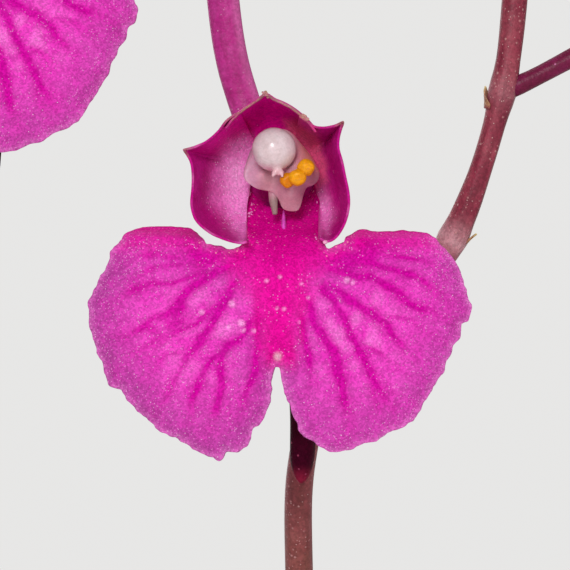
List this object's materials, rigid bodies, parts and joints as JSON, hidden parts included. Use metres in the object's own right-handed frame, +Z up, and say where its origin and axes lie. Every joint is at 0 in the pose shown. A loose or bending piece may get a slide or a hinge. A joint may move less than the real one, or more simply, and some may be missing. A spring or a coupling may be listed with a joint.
{
  "type": "potted comparettia falcata",
  "caption": "Potted orchid: leaves on pseudobulbs, and two arching stems of magenta two-lobed blooms, in a plain clay pot of bark.",
  "frame": {"origin": "centre of the pot's foot, on the surface it stands on", "axes": "+Z up; -Y is the front, which the main bloom faces; +X is the viewer's right"},
  "size_m": [0.1938, 0.1493, 0.2424],
  "materials": {
    "clay": "dry unglazed terracotta",
    "bark": "rough weathered bark",
    "root": "matt, felty",
    "pseudobulb": "satin, ridged",
    "leaf": "leathery satin",
    "sheath": "dry papery",
    "stem": "waxy satin",
    "petal": "velvety, sparkling cells",
    "column": "translucent, waxy gloss",
    "anther": "pearly gloss",
    "pollen": "waxy gloss",
    "bud": "waxy satin"
  },
  "bodies": {
    "root": {"pot": "clay", "bark": "bark", "rhizome_and_roots": "root", "pseudobulb_1": "pseudobulb", "leaf_1": "leaf", "sheath_1": "sheath", "pseudobulb_2": "pseudobulb", "leaf_2": "leaf", "sheath_2": "sheath", "pseudobulb_3": "pseudobulb", "leaf_3": "leaf", "sheath_3": "sheath", "pseudobulb_4": "pseudobulb", "leaf_4": "leaf", "sheath_4": "sheath", "pseudobulb_5": "pseudobulb", "leaf_5": "leaf", "sheath_5": "sheath", "pseudobulb_6": "pseudobulb", "leaf_6": "leaf", "sheath_6": "sheath", "flower_stem_left": "stem", "flower_stem_right": "stem", "flower_a1": "petal", "column_a1": "column", "flower_a2": "petal", "column_a2": "column", "flower_a3": "petal", "column_a3": "column", "flower_a4": "petal", "column_a4": "column", "flower_main": "petal", "column_main": "column", "flower_b1": "petal", "column_b1": "column", "flower_b2": "petal", "column_b2": "column", "flower_b3": "petal", "column_b3": "column", "flower_b4": "petal", "column_b4": "column", "anther_cap_main": "anther", "pollinia_main": "pollen", "bud_a1": "bud", "bud_a2": "bud", "bud_a3": "bud", "bud_b1": "bud", "bud_b2": "bud"}
  },
  "joints": []
}
